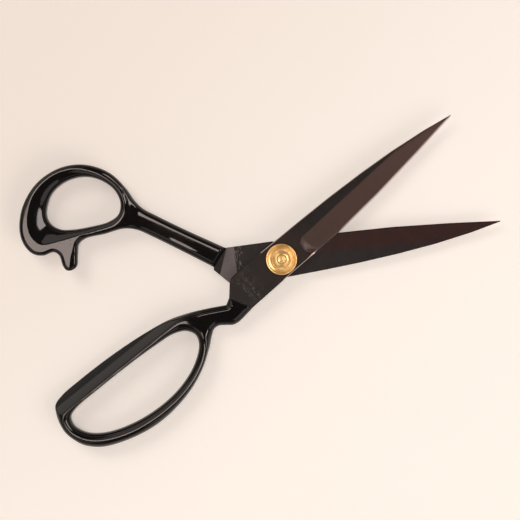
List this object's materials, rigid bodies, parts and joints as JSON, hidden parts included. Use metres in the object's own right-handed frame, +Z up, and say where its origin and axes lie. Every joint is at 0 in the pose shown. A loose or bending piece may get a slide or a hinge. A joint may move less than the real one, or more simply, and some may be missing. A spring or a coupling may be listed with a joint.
{
  "type": "fabric shears",
  "caption": "Dressmaker's shears lying open: two blackened blades on a brass-nutted pivot, a long finger bow and a small thumb bow with a stop spur.",
  "frame": {"origin": "on the pivot axis, in the plane the shears lie on: the centre of the underside of the pivot bolt's head", "axes": "+X towards the blade tips along the middle of the opening, +Y towards the thumb bow's side, +Z up along the pivot, from the bolt's head to the brass nut"},
  "size_m": [0.2525, 0.1432, 0.0158],
  "materials": {
    "blackened_steel": "blackened, satin, with fine grinding marks",
    "black_lacquer": "gloss lacquer over cast iron",
    "brass": "turned, bright"
  },
  "bodies": {
    "lower_half": {"lower_blade": "blackened_steel", "thumb_bow": "black_lacquer", "pivot_bolt": "brass", "cup_washer": "brass", "pivot_nut": "brass"},
    "upper_half": {"upper_blade": "blackened_steel", "finger_bow": "black_lacquer"}
  },
  "joints": [
    {"name": "blade_pivot", "type": "hinge", "parent": "lower_half", "child": "upper_half", "pos_m": [0, 0, 0.0064], "axis": [0, 0, 1], "range_deg": [-30.5, 108]}
  ]
}
